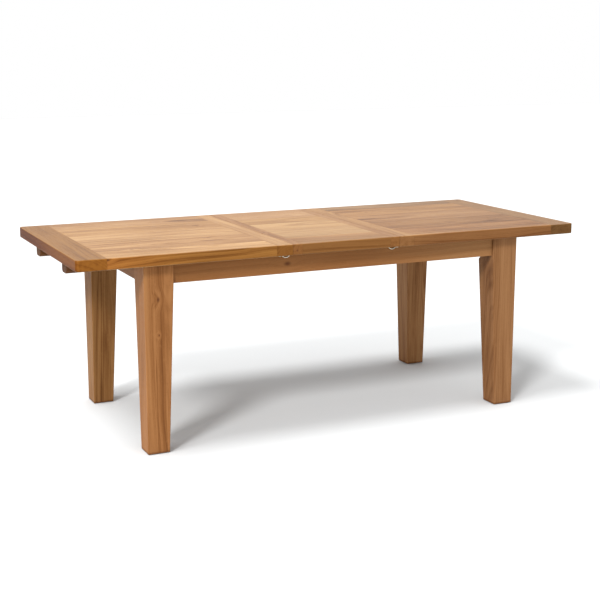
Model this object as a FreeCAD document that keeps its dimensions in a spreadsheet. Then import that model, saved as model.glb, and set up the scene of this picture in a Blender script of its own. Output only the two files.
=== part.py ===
import FreeCAD, Part
import os
import Sketcher

# An extendable dining table in solid oak, drawn extended with its leaf in place.
# Frame: +X along the table, -Y is the front, +Z up, origin on the floor under the middle.
# A fixed frame of four legs and four aprons carries two top halves on wooden slide rails.
# The loose leaf drops in between the halves and swing catches keep the joints level.

doc = FreeCAD.newDocument("extendable_dining_table")

SIZES = (
    # whole table
    ("table_height", 770),
    ("table_width", 900),
    ("top_thickness", 43),
    ("half_length", 844),
    ("leaf_length", 466),
    ("joint_gap", 1),
    ("leaf_relief", 0.5),
    # top boards
    ("breadboard_width", 114),
    ("half_band_width", 66),
    ("leaf_band_width", 40),
    ("outer_arris", 4),
    ("seam_arris", 0.4),
    ("corner_round", 14),
    ("seam_1", -330),
    ("seam_2", -130),
    ("seam_3", 90),
    ("seam_4", 275),
    ("leaf_seam_1", -301),
    ("leaf_seam_2", -93),
    ("leaf_seam_3", 81),
    ("leaf_seam_4", 222),
    # legs
    ("leg_outer_x", 818),
    ("leg_outer_y", 414),
    ("leg_top", 115),
    ("leg_foot", 86),
    ("leg_arris", 2),
    ("taper_start", 650),
    ("glide_height", 3),
    ("glide_radius", 20),
    ("frame_clearance", 1),
    # corner seat, block and bolt
    ("seat_cut", 26),
    ("seat_bottom", 640),
    ("seat_ramp", 22),
    ("block_gap", 3),
    ("block_thickness", 28),
    ("block_bottom", 655),
    ("block_height", 27),
    ("bolt_radius", 4),
    ("bolt_in_leg", 40),
    ("bolt_past_block", 15),
    ("nut_across", 13),
    ("nut_height", 8),
    ("flange_radius", 9),
    ("flange_height", 1.5),
    # aprons
    ("apron_setback", 12),
    ("apron_thickness", 22),
    ("apron_bottom", 650),
    # slide rails and their guides
    ("rail_width", 64),
    ("rail_bottom", 684),
    ("rail_round", 12),
    ("left_rail_y", 203),
    ("right_rail_y", 133),
    ("rail_outer_end", 1058),
    ("rail_inner_end", 198),
    ("notch_play", 1),
    ("rail_play", 0.5),
    ("groove_depth", 8),
    ("groove_height", 8),
    ("groove_outer_stop", 24),
    ("groove_inner_stop", 40),
    ("over_travel", 60),
    ("guide_width", 24),
    ("guide_headroom", 2),
    ("bearer_x", 500),
    ("bearer_width", 60),
    ("bearer_thickness", 26),
    ("bearer_tenon", 8),
    # wood screws
    ("screw_radius", 2.5),
    ("screw_head_radius", 5),
    ("screw_head_height", 3),
    ("pilot_play", 0.1),
    ("counterbore_radius", 6.5),
    ("counterbore_depth", 14),
    ("rail_screw_bite", 20),
    ("rail_screw_outer_x", 1018),
    ("rail_screw_middle_x", 600),
    ("rail_screw_inner_x", 267),
    ("guide_screw_bite", 18),
    ("block_screw_seat", 12),
    ("block_screw_shift", 3),
    ("guide_end_gap", 38),
    ("block_screw_bite", 16),
    # swing catches and keepers
    ("catch_y", 412),
    ("catch_reach", 50),
    ("catch_width", 10),
    ("catch_metal", 2),
    ("catch_eye_radius", 6),
    ("catch_pad", 8.8),
    ("catch_bow_depth", 9),
    ("catch_bow_radius", 21),
    ("catch_play", 0.3),
    ("catch_left_pivot_x", 274),
    ("catch_right_pivot_x", 242),
    ("pivot_play", 0.08),
    ("collar_height", 1.5),
    ("pivot_head_height", 2.5),
    ("pivot_bite", 18),
    ("keeper_length", 18),
    ("keeper_width", 14),
    ("keeper_metal", 1.5),
    ("keeper_left_x", 223),
    ("keeper_right_x", 203),
    ("keeper_screw_radius", 1.5),
    ("keeper_screw_head", 2.6),
    ("keeper_screw_offset", 5.5),
    ("keeper_screw_bite", 14),
)

sheet = doc.addObject("Spreadsheet::Sheet", "Sizes")
for row, (alias, value) in enumerate(SIZES, start=1):
    sheet.set("A%d" % row, alias)
    sheet.set("B%d" % row, str(value))
    sheet.setAlias("B%d" % row, alias)
doc.recompute()

X_AXIS = FreeCAD.Vector(1, 0, 0)
Y_AXIS = FreeCAD.Vector(0, 1, 0)
Z_AXIS = FreeCAD.Vector(0, 0, 1)

# Derived sizes, as expressions in the sheet's cells.
TOP_UNDER = "(Sizes.table_height - Sizes.top_thickness)"
FRAME_TOP = "(%s - Sizes.frame_clearance)" % TOP_UNDER
LEG_HEIGHT = "(%s - Sizes.glide_height)" % FRAME_TOP
LEAF_EDGE = "(Sizes.leaf_length / 2)"
HALF_EDGE = "(%s + Sizes.joint_gap)" % LEAF_EDGE
TABLE_EDGE = "(%s + Sizes.half_length)" % HALF_EDGE
APRON_OUT_X = "(Sizes.leg_outer_x - Sizes.apron_setback)"
APRON_OUT_Y = "(Sizes.leg_outer_y - Sizes.apron_setback)"
APRON_IN_X = "(%s - Sizes.apron_thickness)" % APRON_OUT_X
APRON_IN_Y = "(%s - Sizes.apron_thickness)" % APRON_OUT_Y
LEG_IN_X = "(Sizes.leg_outer_x - Sizes.leg_top)"
LEG_IN_Y = "(Sizes.leg_outer_y - Sizes.leg_top)"
APRON_HEIGHT = "(%s - Sizes.apron_bottom)" % FRAME_TOP
RAIL_HEIGHT = "(%s - Sizes.rail_bottom)" % TOP_UNDER
RAIL_LENGTH = "(Sizes.rail_outer_end + Sizes.rail_inner_end)"
BEARER_TOP = "(Sizes.rail_bottom - Sizes.rail_play)"
BEARER_BOTTOM = "(%s - Sizes.bearer_thickness)" % BEARER_TOP
GUIDE_HEIGHT = "(%s - Sizes.guide_headroom - %s)" % (TOP_UNDER, BEARER_TOP)
GROOVE_MIDDLE = "(Sizes.rail_bottom + %s / 2)" % RAIL_HEIGHT
PILOT_RADIUS = "(Sizes.screw_radius + Sizes.pilot_play)"
SEAT_SUM = "(2 * Sizes.leg_top - Sizes.seat_cut)"
BLOCK_BACK = "(%s + Sizes.block_gap * sqrt(2))" % SEAT_SUM
BLOCK_FRONT = "(%s + Sizes.block_thickness * sqrt(2))" % BLOCK_BACK
APRON_DEPTH = "(Sizes.apron_setback + Sizes.apron_thickness)"
BLOCK_MIDDLE_Z = "(Sizes.block_bottom + Sizes.block_height / 2)"
CATCH_TOP = "(%s - Sizes.collar_height - Sizes.catch_play)" % TOP_UNDER
LEAF_UNDER = "(%s + Sizes.leaf_relief)" % TOP_UNDER

# The four corners of the frame: name, turn about +Z, side along X, side along Y.
CORNERS = (
    ("front_left", 0, -1, -1),
    ("front_right", 90, 1, -1),
    ("rear_right", 180, 1, 1),
    ("rear_left", 270, -1, 1),
)
NODES = []


def node(piece):
    """Mark a finished piece as one to be written out under its label."""
    NODES.append(piece)
    return piece


def place(piece, x, y, z, turn=None):
    """Put a piece at a point given as three expressions, after an optional turn."""
    if turn is not None:
        piece.Placement = FreeCAD.Placement(FreeCAD.Vector(0, 0, 0), turn)
    piece.setExpression("Placement.Base.x", x)
    piece.setExpression("Placement.Base.y", y)
    piece.setExpression("Placement.Base.z", z)
    return piece


def block(name, size, at):
    """A rectangular block from its three sizes and its low corner."""
    piece = doc.addObject("Part::Box", name)
    for prop, size_text in zip(("Length", "Width", "Height"), size):
        piece.setExpression(prop, size_text)
    return place(piece, *at)


def rod(name, radius, height, at, direction=Z_AXIS):
    """A cylinder that starts at a point and runs along a direction."""
    piece = doc.addObject("Part::Cylinder", name)
    piece.setExpression("Radius", radius)
    piece.setExpression("Height", height)
    return place(piece, *at, turn=FreeCAD.Rotation(Z_AXIS, direction))


def fuse(name, pieces):
    """One solid from overlapping pieces."""
    piece = doc.addObject("Part::MultiFuse", name)
    piece.Shapes = pieces
    piece.Refine = True
    return piece


def cut(name, base, tools):
    """A base piece less one or more tools."""
    if len(tools) == 1:
        tool = tools[0]
    else:
        tool = group(name + "_tools", tools)
    piece = doc.addObject("Part::Cut", name)
    piece.Base = base
    piece.Tool = tool
    return piece


def group(name, pieces):
    """Separate solids kept together under one name."""
    piece = doc.addObject("Part::Compound", name)
    piece.Links = pieces
    return piece


def origin_plane(body, role):
    """One of a body's own origin planes."""
    for feature in body.Origin.OriginFeatures:
        if feature.Role == role:
            return feature
    raise ValueError("no plane called " + role)


def outline(body, name, role, corners):
    """A closed polygon sketch whose corners are each held by two bound distances."""
    sketch = body.newObject("Sketcher::SketchObject", name)
    sketch.AttachmentSupport = (origin_plane(body, role), [""])
    sketch.MapMode = "FlatFace"
    count = len(corners)
    starts = [FreeCAD.Vector(10 * i, 3 * i * i, 0) for i in range(count)]
    for i in range(count):
        sketch.addGeometry(Part.LineSegment(starts[i], starts[(i + 1) % count]), False)
    for i in range(count):
        sketch.addConstraint(Sketcher.Constraint("Coincident", i, 2, (i + 1) % count, 1))
    for i, (across, up) in enumerate(corners):
        index = sketch.addConstraint(Sketcher.Constraint("DistanceX", -1, 1, i, 1, starts[i].x))
        sketch.setExpression("Constraints[%d]" % index, across)
        index = sketch.addConstraint(Sketcher.Constraint("DistanceY", -1, 1, i, 1, starts[i].y))
        sketch.setExpression("Constraints[%d]" % index, up)
    return sketch


def pad(body, name, sketch, length, backwards=False):
    """Extrude a sketch by a bound length."""
    feature = body.newObject("PartDesign::Pad", name)
    feature.Profile = sketch
    feature.setExpression("Length", length)
    feature.Reversed = backwards
    sketch.Visibility = False
    return feature


def edge_names(shape, test):
    """The names of the edges whose middle passes a test."""
    return ["Edge%d" % (i + 1) for i, edge in enumerate(shape.Edges) if test(edge)]


def ease(body, kind, name, base, size, test):
    """Round or bevel the edges of a feature that pass a test."""
    doc.recompute()
    feature = body.newObject("PartDesign::" + kind, name)
    feature.Base = (base, edge_names(base.Shape, test))
    feature.setExpression("Radius" if kind == "Fillet" else "Size", size)
    return feature


def read(alias):
    """The value of a cell, for choosing edges."""
    return float(sheet.get(alias))


def corner_place(piece, corner):
    """Stand a piece drawn in a corner's own frame in that corner of the table."""
    name, angle, side_x, side_y = corner
    turn = FreeCAD.Rotation(Z_AXIS, angle)
    return place(piece, "%d * Sizes.leg_outer_x" % side_x, "%d * Sizes.leg_outer_y" % side_y, "0", turn)


# ---------------------------------------------------------------- legs and corners
# A corner's own frame has its origin at the leg's outer edge and its +X and +Y inwards.

DIAGONAL = FreeCAD.Vector(1, 1, 0)


def leg_section(body, name, width, height):
    """A square across the leg at one height, with its four corners eased."""
    near = "Sizes.leg_arris"
    far = "%s - Sizes.leg_arris" % width
    section = outline(body, name, "XY_Plane", (
        (near, "0"), (far, "0"), (width, near), (width, far),
        (far, width), (near, width), ("0", far), ("0", near),
    ))
    section.setExpression("AttachmentOffset.Base.z", height)
    return section


def leg_body(name):
    """A square leg, straight beside the aprons, tapered on its two inner faces below."""
    body = doc.addObject("PartDesign::Body", name)
    foot = leg_section(body, name + "_foot", "Sizes.leg_foot", "0")
    knee = leg_section(body, name + "_knee", "Sizes.leg_top", "Sizes.taper_start - Sizes.glide_height")
    top = leg_section(body, name + "_top", "Sizes.leg_top", LEG_HEIGHT)
    doc.recompute()
    loft = body.newObject("PartDesign::AdditiveLoft", name + "_loft")
    loft.Profile = foot
    loft.Sections = [knee, top]
    loft.Ruled = True
    body.Tip = loft
    return place(body, "0", "0", "Sizes.glide_height")


def seat_tools(name):
    """Tools for the flat that the corner block faces, with a ramp at its lower end."""
    half = "Sizes.leg_top / sqrt(2)"
    middle = "%s / 2" % SEAT_SUM
    size = ("2 * Sizes.leg_top", "2 * Sizes.leg_top", "Sizes.leg_top")
    flat = block(name + "_flat", size, ("0", "0", "0"))
    place(flat, "%s + %s" % (middle, half), "%s - %s" % (middle, half), "Sizes.seat_bottom",
          FreeCAD.Rotation(Z_AXIS, 45))
    ramp = doc.addObject("Part::Wedge", name + "_ramp")
    for prop in ("Ymin", "Zmin", "Z2min", "X2min"):
        ramp.setExpression(prop, "0")
    ramp.setExpression("Xmin", "Sizes.seat_cut / sqrt(2)")
    ramp.setExpression("Ymax", "Sizes.seat_ramp")
    for prop in ("Xmax", "X2max", "Zmax", "Z2max"):
        ramp.setExpression(prop, "2 * Sizes.leg_top")
    turn = FreeCAD.Rotation(DIAGONAL, Z_AXIS, DIAGONAL.cross(Z_AXIS), "XYZ")
    place(ramp, "%s - %s" % (middle, half), "%s + %s" % (middle, half),
          "Sizes.seat_bottom - Sizes.seat_ramp", turn)
    return [flat, ramp]


def block_body(name):
    """A corner block: a bar across the corner with its ends cut to the aprons."""
    body = doc.addObject("PartDesign::Body", name)
    plan = outline(body, name + "_plan", "XY_Plane", (
        ("%s - %s" % (BLOCK_BACK, APRON_DEPTH), APRON_DEPTH),
        ("%s - %s" % (BLOCK_FRONT, APRON_DEPTH), APRON_DEPTH),
        (APRON_DEPTH, "%s - %s" % (BLOCK_FRONT, APRON_DEPTH)),
        (APRON_DEPTH, "%s - %s" % (BLOCK_BACK, APRON_DEPTH)),
    ))
    body.Tip = pad(body, name + "_bar", plan, "Sizes.block_height")
    return place(body, "0", "0", "Sizes.block_bottom")


def wood_screw(name, at, direction, bite, play="0"):
    """A pan head wood screw whose head seats at a point, with its shank going on from there.

    With some play it is the tool that drills the screw's pilot hole.
    """
    shank = rod(name + "_shank", "Sizes.screw_radius + %s" % play, "%s + %s" % (bite, play), at, direction)
    if play != "0":
        return shank
    head = rod(name + "_head", "Sizes.screw_head_radius", "Sizes.screw_head_height", at, direction * -1)
    return fuse(name, [shank, head])


BLOCK_SCREW_ALONG = "(%s - %s - Sizes.block_thickness / sqrt(2) + Sizes.block_screw_shift)" % (
    BLOCK_FRONT, APRON_DEPTH)
BLOCK_SCREW_SEAT = "(%s + Sizes.block_screw_seat)" % APRON_DEPTH
BLOCK_SCREW_LENGTH = "(Sizes.block_screw_seat + Sizes.block_screw_bite)"


def block_screw_lines():
    """Where the two screws of a corner block start, and which way they run."""
    yield (BLOCK_SCREW_ALONG, BLOCK_SCREW_SEAT, BLOCK_MIDDLE_Z), Y_AXIS * -1
    yield (BLOCK_SCREW_SEAT, BLOCK_SCREW_ALONG, BLOCK_MIDDLE_Z), X_AXIS * -1


def corner_pieces(corner):
    """The leg, corner block, hanger bolt, nut, block screws and glide of one corner."""
    name = corner[0]
    start = "(%s / 2 - Sizes.bolt_in_leg / sqrt(2))" % SEAT_SUM
    start_at = (start, start, BLOCK_MIDDLE_Z)
    through = "(%s - %s) / sqrt(2)" % (BLOCK_FRONT, SEAT_SUM)
    length = "(%s + Sizes.bolt_in_leg + Sizes.bolt_past_block)" % through
    front = "(%s / 2)" % BLOCK_FRONT
    front_at = (front, front, BLOCK_MIDDLE_Z)

    bolt_hole = rod(name + "_bolt_hole", "Sizes.bolt_radius + Sizes.pilot_play", length, start_at, DIAGONAL)
    leg = cut("leg_" + name, leg_body(name + "_leg_blank"), seat_tools(name + "_seat") + [bolt_hole])
    node(corner_place(leg, corner))

    tools = [rod(name + "_block_hole", "Sizes.bolt_radius + Sizes.pilot_play", length, start_at, DIAGONAL)]
    screws = []
    for side, (at, direction) in enumerate(block_screw_lines()):
        label = "%s_block_screw_%d" % (name, side + 1)
        screws.append(wood_screw(label, at, direction, BLOCK_SCREW_LENGTH))
        tools.append(wood_screw(label + "_pilot", at, direction, BLOCK_SCREW_LENGTH, "Sizes.pilot_play"))
        tools.append(rod(label + "_bore", "Sizes.counterbore_radius", "Sizes.leg_top", at, direction * -1))
    node(corner_place(cut("corner_block_" + name, block_body(name + "_block_blank"), tools), corner))

    bolt = rod(name + "_bolt_rod", "Sizes.bolt_radius", length, start_at, DIAGONAL)
    flange = rod(name + "_flange", "Sizes.flange_radius", "Sizes.flange_height", front_at, DIAGONAL)
    hexagon = doc.addObject("Part::Prism", name + "_hexagon")
    hexagon.Polygon = 6
    hexagon.setExpression("Circumradius", "Sizes.nut_across / sqrt(3)")
    hexagon.setExpression("Height", "Sizes.nut_height")
    place(hexagon, *front_at, turn=FreeCAD.Rotation(Z_AXIS, DIAGONAL))
    nut_hole = rod(name + "_nut_hole", "Sizes.bolt_radius + Sizes.pilot_play", length, start_at, DIAGONAL)
    nut = cut(name + "_nut", fuse(name + "_nut_blank", [flange, hexagon]), [nut_hole])
    centre = "Sizes.leg_foot / 2"
    glide = rod(name + "_glide", "Sizes.glide_radius", "Sizes.glide_height", (centre, centre, "0"))
    kinds = (("bolt", [bolt]), ("nut_place", [nut]), ("screws", screws), ("glide_place", [glide]))
    return [corner_place(group("%s_%s" % (name, kind), pieces), corner) for kind, pieces in kinds]


bolts, nuts, block_screws, glides = zip(*[corner_pieces(corner) for corner in CORNERS])
node(group("hanger_bolts", list(bolts)))
node(group("flange_nuts", list(nuts)))
node(group("corner_block_screws", list(block_screws)))
node(group("foot_glides", list(glides)))


# ---------------------------------------------------------------- aprons and bearers

BEARER_PLACES = (("left", -1), ("middle", 0), ("right", 1))


def corner_tools(name, side_along_x):
    """Pilot holes of the block screws that enter the aprons running along one axis."""
    tools = []
    for corner in CORNERS:
        for at, direction in block_screw_lines():
            runs_along_y = (abs(direction.y) > 0.5) == (corner[1] % 180 == 0)
            if runs_along_y != side_along_x:
                continue
            label = "%s_%s_pilot" % (name, corner[0])
            pilot = wood_screw(label, at, direction, BLOCK_SCREW_LENGTH, "Sizes.pilot_play")
            tools.append(corner_place(group(label + "_place", [pilot]), corner))
    return tools


def side_apron(name, side):
    """A long apron between two legs, mortised on its inner face for the bearers."""
    board = block(name + "_board",
                  ("2 * %s" % LEG_IN_X, "Sizes.apron_thickness", APRON_HEIGHT),
                  ("-%s" % LEG_IN_X, APRON_IN_Y if side > 0 else "-%s" % APRON_OUT_Y, "Sizes.apron_bottom"))
    tools = corner_tools(name, True)
    for place_name, step in BEARER_PLACES:
        low_y = "%d * %s - Sizes.bearer_tenon" % (side, APRON_IN_Y)
        tools.append(block("%s_mortise_%s" % (name, place_name),
                           ("Sizes.bearer_width", "2 * Sizes.bearer_tenon", "Sizes.bearer_thickness"),
                           ("%d * Sizes.bearer_x - Sizes.bearer_width / 2" % step, low_y, BEARER_BOTTOM)))
    return node(cut(name, board, tools))


def end_apron(name, side, rail_y):
    """An end apron with two open notches that its half's slide rails run through."""
    board = block(name + "_board",
                  ("Sizes.apron_thickness", "2 * %s" % LEG_IN_Y, APRON_HEIGHT),
                  (APRON_IN_X if side > 0 else "-%s" % APRON_OUT_X, "-%s" % LEG_IN_Y, "Sizes.apron_bottom"))
    tools = corner_tools(name, False)
    for rail_side, sign in (("front", -1), ("rear", 1)):
        low_x = "%d * %s - 2 * Sizes.apron_thickness" % (side, APRON_OUT_X)
        low_y = "%d * %s - Sizes.rail_width / 2 - Sizes.notch_play" % (sign, rail_y)
        size = ("4 * Sizes.apron_thickness", "Sizes.rail_width + 2 * Sizes.notch_play", APRON_HEIGHT)
        tools.append(block("%s_notch_%s" % (name, rail_side), size, (low_x, low_y, BEARER_TOP)))
    return node(cut(name, board, tools))


side_apron("apron_front", -1)
side_apron("apron_rear", 1)
end_apron("apron_left", -1, "Sizes.left_rail_y")
end_apron("apron_right", 1, "Sizes.right_rail_y")


# ---------------------------------------------------------------- guides

# Each guide stands beside one rail: its name, rail, side of the table and side of the rail.
OUTER_GUIDE_FACE = "(Sizes.left_rail_y + Sizes.rail_width / 2 + Sizes.rail_play)"
INNER_GUIDE_FACE = "(Sizes.right_rail_y - Sizes.rail_width / 2 - Sizes.rail_play)"
GUIDE_END = "(%s - Sizes.guide_end_gap)" % APRON_IN_X
GUIDES = (
    ("guide_outer_front", -1, True),
    ("guide_outer_rear", 1, True),
    ("guide_inner_front", -1, False),
    ("guide_inner_rear", 1, False),
)


def guide_low_y(side, outer):
    """The lower Y of a guide's body."""
    if outer:
        return OUTER_GUIDE_FACE if side > 0 else "-%s - Sizes.guide_width" % OUTER_GUIDE_FACE
    return "%s - Sizes.guide_width" % INNER_GUIDE_FACE if side > 0 else "-%s" % INNER_GUIDE_FACE


def guide_middle_y(side, outer):
    return "(%s + Sizes.guide_width / 2)" % guide_low_y(side, outer)


def guide(name, side, outer):
    """A fixed guide with a tongue that runs in its rail's groove and stops it."""
    body = block(name + "_body", ("2 * %s" % GUIDE_END, "Sizes.guide_width", GUIDE_HEIGHT),
                 ("-%s" % GUIDE_END, guide_low_y(side, outer), BEARER_TOP))
    tongue_depth = "(Sizes.groove_depth - Sizes.rail_play)"
    stop_x = "(Sizes.rail_inner_end - Sizes.groove_inner_stop - Sizes.over_travel)"
    tongue_length = "(%s + %s)" % (stop_x, GUIDE_END)
    towards_rail = side < 0 if outer else side > 0
    face = OUTER_GUIDE_FACE if outer else INNER_GUIDE_FACE
    low_y = "%d * %s" % (side, face)
    if not towards_rail:
        low_y = "%s - %s" % (low_y, tongue_depth)
    low_x = "-%s" % GUIDE_END if outer else "%s - %s" % (GUIDE_END, tongue_length)
    tongue = block(name + "_tongue",
                   (tongue_length, tongue_depth, "Sizes.groove_height - 2 * Sizes.rail_play"),
                   (low_x, low_y, "%s - Sizes.groove_height / 2 + Sizes.rail_play" % GROOVE_MIDDLE))
    pilots = [wood_screw("%s_pilot_%s" % (name, place_name), *guide_screw_line(side, outer, step),
                         "Sizes.pilot_play") for place_name, step in BEARER_PLACES]
    return node(cut(name, fuse(name + "_blank", [body, tongue]), pilots))


def guide_screw_line(side, outer, step):
    """Start, direction and bite of the screw that holds a guide to one bearer."""
    at = ("%d * Sizes.bearer_x" % step, guide_middle_y(side, outer), BEARER_BOTTOM)
    return at, Z_AXIS, "(Sizes.bearer_thickness + Sizes.guide_screw_bite)"


def bearer(place_name, step):
    """A cross bearer housed in both side aprons, under the rails and guides."""
    reach = "(%s + Sizes.bearer_tenon)" % APRON_IN_Y
    bar = block("bearer_%s_bar" % place_name,
                ("Sizes.bearer_width", "2 * %s" % reach, "Sizes.bearer_thickness"),
                ("%d * Sizes.bearer_x - Sizes.bearer_width / 2" % step, "-%s" % reach, BEARER_BOTTOM))
    pilots = [wood_screw("bearer_%s_%s" % (place_name, name), *guide_screw_line(side, outer, step),
                         "Sizes.pilot_play") for name, side, outer in GUIDES]
    return node(cut("bearer_" + place_name, bar, pilots))


for guide_name, guide_side, guide_outer in GUIDES:
    guide(guide_name, guide_side, guide_outer)
for bearer_name, bearer_step in BEARER_PLACES:
    bearer(bearer_name, bearer_step)
node(group("guide_screws", [
    wood_screw("%s_screw_%s" % (name, place_name), *guide_screw_line(side, outer, step))
    for name, side, outer in GUIDES for place_name, step in BEARER_PLACES
]))


# ---------------------------------------------------------------- slide rails

RAIL_SCREWS = ("Sizes.rail_screw_outer_x", "Sizes.rail_screw_middle_x", "Sizes.rail_screw_inner_x")


def rail_screw_line(side, rail_y, row, x):
    """Start, direction and bite of a screw that holds a rail up to the top."""
    at = ("%d * %s" % (side, x), "%d * %s" % (row, rail_y), "(Sizes.rail_bottom + Sizes.counterbore_depth)")
    return at, Z_AXIS, "(%s - Sizes.counterbore_depth + Sizes.rail_screw_bite)" % RAIL_HEIGHT


def rail(half, side, rail_y, row_name, row, groove_away_from_middle):
    """A slide rail: rounded below, grooved on the side of its guide, screwed up to the top."""
    name = "%s_rail_%s" % (half, row_name)
    body = doc.addObject("PartDesign::Body", name + "_blank")
    section = outline(body, name + "_section", "YZ_Plane", (
        ("0", "0"),
        ("Sizes.rail_width", "0"),
        ("Sizes.rail_width", RAIL_HEIGHT),
        ("0", RAIL_HEIGHT),
    ))
    bar = pad(body, name + "_bar", section, RAIL_LENGTH)
    body.Tip = ease(body, "Fillet", name + "_round", bar, "Sizes.rail_round",
                    lambda edge: edge.BoundBox.ZMax < 1 and edge.BoundBox.XLength > 1)
    low_x = "-Sizes.rail_outer_end" if side < 0 else "-Sizes.rail_inner_end"
    place(body, low_x, "%d * %s - Sizes.rail_width / 2" % (row, rail_y), "Sizes.rail_bottom")

    face_side = row if groove_away_from_middle else -row
    groove_length = "(%s - Sizes.groove_outer_stop - Sizes.groove_inner_stop)" % RAIL_LENGTH
    groove_x = "-Sizes.rail_outer_end + Sizes.groove_outer_stop"
    if side > 0:
        groove_x = "-Sizes.rail_inner_end + Sizes.groove_inner_stop"
    groove_y = "%d * %s + %d * Sizes.rail_width / 2 - Sizes.groove_depth" % (row, rail_y, face_side)
    tools = [block(name + "_groove", (groove_length, "2 * Sizes.groove_depth", "Sizes.groove_height"),
                   (groove_x, groove_y, "%s - Sizes.groove_height / 2" % GROOVE_MIDDLE))]
    for i, x in enumerate(RAIL_SCREWS):
        line = rail_screw_line(side, rail_y, row, x)
        tools.append(wood_screw("%s_pilot_%d" % (name, i + 1), *line, "Sizes.pilot_play"))
        tools.append(rod("%s_bore_%d" % (name, i + 1), "Sizes.counterbore_radius",
                         "2 * Sizes.counterbore_depth", line[0], Z_AXIS * -1))
    return node(cut(name, body, tools))


# ---------------------------------------------------------------- top boards

TOUCH = 0.01


def sides_of(point, length, width):
    """Which of a board's four sides a point of its own frame lies on."""
    tests = (
        ("x0", point.x < TOUCH),
        ("x1", point.x > length - TOUCH),
        ("y0", point.y < TOUCH),
        ("y1", point.y > width - TOUCH),
    )
    return {name for name, touches in tests if touches}


def is_upright(edge):
    return edge.BoundBox.ZLength > read("table_height") / 100


def board(name, low, size, under, rim, tools=()):
    """A flat board of the top: rim names the sides on the table's edge, which are rounded.

    low is its corner in plan and size its length and width, each an expression and a value.
    """
    body = doc.addObject("PartDesign::Body", name + "_blank" if tools else name)
    (length_text, length), (width_text, width) = size
    plan = outline(body, name + "_plan", "XY_Plane", (
        ("0", "0"),
        (length_text, "0"),
        (length_text, width_text),
        ("0", width_text),
    ))
    feature = pad(body, name + "_pad", plan, "Sizes.table_height - %s" % under)

    def on_corner(edge):
        sides = sides_of(edge.CenterOfMass, length, width)
        return is_upright(edge) and len(sides) == 2 and sides <= rim

    def on_rim(edge):
        return not is_upright(edge) and bool(sides_of(edge.CenterOfMass, length, width) & rim)

    def on_seam(edge):
        sides = sides_of(edge.CenterOfMass, length, width)
        is_top = edge.BoundBox.ZMin > read("top_thickness") - 1
        return is_top and bool(sides) and not sides & rim

    if "x0" in rim or "x1" in rim:
        feature = ease(body, "Fillet", name + "_corners", feature, "Sizes.corner_round", on_corner)
    if rim:
        feature = ease(body, "Fillet", name + "_rim", feature, "Sizes.outer_arris", on_rim)
    body.Tip = ease(body, "Chamfer", name + "_seams", feature, "Sizes.seam_arris", on_seam)
    place(body, low[0], low[1], under)
    if tools:
        return node(cut(name, body, list(tools)))
    return node(body)


def seams(names, side):
    """Every seam from front to back, as its expression and its value."""
    edge = read("table_width") / 2
    inner = [("Sizes.%s" % name, read(name)) for name in names]
    if side > 0:
        inner = [("(-%s)" % text, -value) for text, value in reversed(inner)]
    return [("(-Sizes.table_width / 2)", -edge)] + inner + [("(Sizes.table_width / 2)", edge)]


def planks(section, low_x, length, edges, under, pilots_for):
    """The lengthwise planks between two cross boards."""
    for i in range(len(edges) - 1):
        (low_text, low_value), (high_text, high_value) = edges[i], edges[i + 1]
        name = "%s_plank_%d" % (section, i + 1)
        rim = set()
        if i == 0:
            rim.add("y0")
        if i == len(edges) - 2:
            rim.add("y1")
        size = (length, ("(%s - %s)" % (high_text, low_text), high_value - low_value))
        board(name, (low_x, low_text), size, under, rim, pilots_for(name, low_value, high_value))


TABLE_WIDTH = ("Sizes.table_width", read("table_width"))
ROWS = (("front", -1), ("rear", 1))
HALF_SEAMS = ("seam_1", "seam_2", "seam_3", "seam_4")
LEAF_SEAMS = ("leaf_seam_1", "leaf_seam_2", "leaf_seam_3", "leaf_seam_4")


def pivot_shank(name, side, pivot_x, row, play):
    """The shank of a catch's pivot screw, or the tool that drills its hole."""
    return rod(name, "Sizes.screw_radius + %s" % play, "Sizes.pivot_bite",
               ("%d * %s" % (side, pivot_x), "%d * Sizes.catch_y" % row, TOP_UNDER))


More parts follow.
